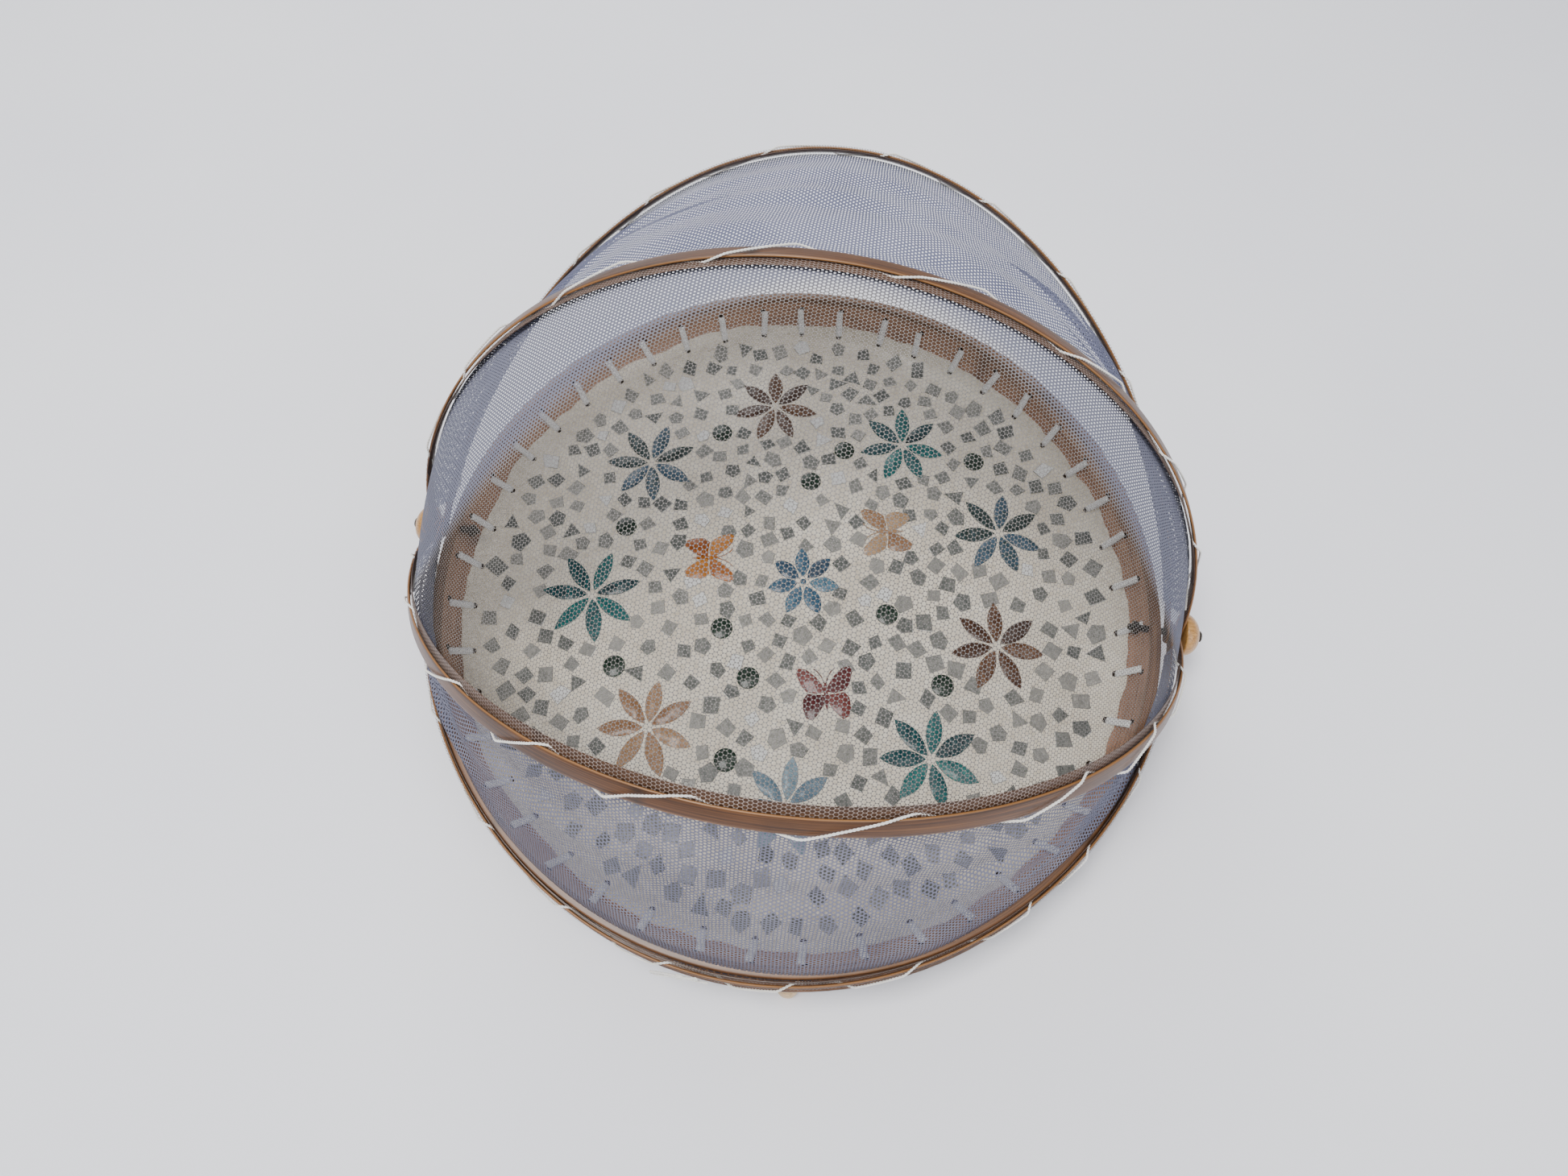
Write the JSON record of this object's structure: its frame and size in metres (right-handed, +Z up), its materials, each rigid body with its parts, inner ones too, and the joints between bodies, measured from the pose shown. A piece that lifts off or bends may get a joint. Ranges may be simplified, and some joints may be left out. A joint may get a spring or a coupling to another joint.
{
  "type": "covered serving tray",
  "caption": "Round bamboo serving tray with a shell mosaic floor and a folding net food cover on bent bamboo hoops.",
  "frame": {"origin": "on the ground under the middle of the tray, between the ball feet", "axes": "+X along the pivot line, towards the right-hand pivot; +Y to the back, where the cover stands open; +Z up"},
  "size_m": [0.4262, 0.3914, 0.2301],
  "materials": {
    "bamboo_dark": "dark stained bamboo, satin",
    "bamboo": "brown bamboo, satin",
    "bamboo_pale": "pale bamboo, satin",
    "hoop_bamboo": "split bamboo strip, satin",
    "bead_wood": "pale turned wood, waxed",
    "pivot_wood": "golden turned bamboo, varnished",
    "shell_ground": "ivory filler set with silver shell pieces, polished",
    "thread": "white two-ply cotton thread",
    "net": "white hexagonal net",
    "screw_steel": "blackened steel screw",
    "shell_blue": "blue shell, polished",
    "shell_brown": "brown shell, polished",
    "shell_slate": "grey-blue shell, polished",
    "shell_teal": "teal shell, polished",
    "shell_tan": "tan shell, polished",
    "shell_pale": "pale blue-grey shell, polished",
    "shell_amber": "amber shell, polished",
    "shell_maroon": "maroon shell, polished",
    "shell_green": "dark green shell, polished"
  },
  "bodies": {
    "tray": {"base_board": "bamboo_dark", "tray_wall": "bamboo", "floor_panel": "bamboo_pale", "mosaic_ground": "shell_ground", "rim_cap": "bamboo", "lower_band": "bamboo_pale", "ball_foot_1": "bead_wood", "ball_foot_2": "bead_wood", "ball_foot_3": "bead_wood", "ball_foot_4": "bead_wood", "foot_dowel_1": "bamboo_pale", "foot_dowel_2": "bamboo_pale", "foot_dowel_3": "bamboo_pale", "foot_dowel_4": "bamboo_pale", "pivot_button_right": "pivot_wood", "pivot_screw_right": "screw_steel", "pivot_nut_right": "screw_steel", "pivot_button_left": "pivot_wood", "pivot_screw_left": "screw_steel", "pivot_nut_left": "screw_steel", "flower_middle": "shell_blue", "flower_back": "shell_brown", "flower_back_left": "shell_slate", "flower_back_right": "shell_teal", "flower_right_back": "shell_slate", "flower_left": "shell_teal", "flower_right": "shell_brown", "flower_front_left": "shell_tan", "flower_front_right": "shell_teal", "flower_front": "shell_pale", "butterfly_left": "shell_amber", "butterfly_right": "shell_tan", "butterfly_front": "shell_maroon", "dot_1": "shell_green", "dot_2": "shell_green", "dot_3": "shell_green", "dot_4": "shell_green", "dot_5": "shell_green", "dot_6": "shell_green", "dot_7": "shell_green", "dot_8": "shell_green", "dot_9": "shell_green", "dot_10": "shell_green", "dot_11": "shell_green"},
    "rear": {"rear_hoop": "hoop_bamboo", "rear_lashing": "thread"},
    "spine": {"spine_hoop": "hoop_bamboo", "spine_lashing": "thread", "rear_net": "net"},
    "lift": {"lift_hoop": "hoop_bamboo", "lift_lashing": "thread", "top_net": "net"},
    "front": {"front_hoop": "hoop_bamboo", "front_lashing": "thread", "front_net": "net"}
  },
  "joints": [
    {"name": "rear_fold", "type": "hinge", "parent": "tray", "child": "rear", "pos_m": [0, 0, 0.0395], "axis": [-1, 0, 0], "range_deg": [0, 37], "deforming": ["rear_lashing"]},
    {"name": "spine_fold", "type": "hinge", "parent": "rear", "child": "spine", "pos_m": [0, 0, 0.0395], "axis": [-1, 0, 0], "range_deg": [0, 24], "deforming": ["rear_net", "spine_lashing"]},
    {"name": "lift_fold", "type": "hinge", "parent": "spine", "child": "lift", "pos_m": [0, 0, 0.0395], "axis": [-1, 0, 0], "range_deg": [0, 62], "deforming": ["top_net", "lift_lashing"]},
    {"name": "front_fold", "type": "hinge", "parent": "lift", "child": "front", "pos_m": [0, 0, 0.0395], "axis": [-1, 0, 0], "range_deg": [0, 27], "deforming": ["front_net", "front_lashing"]}
  ]
}
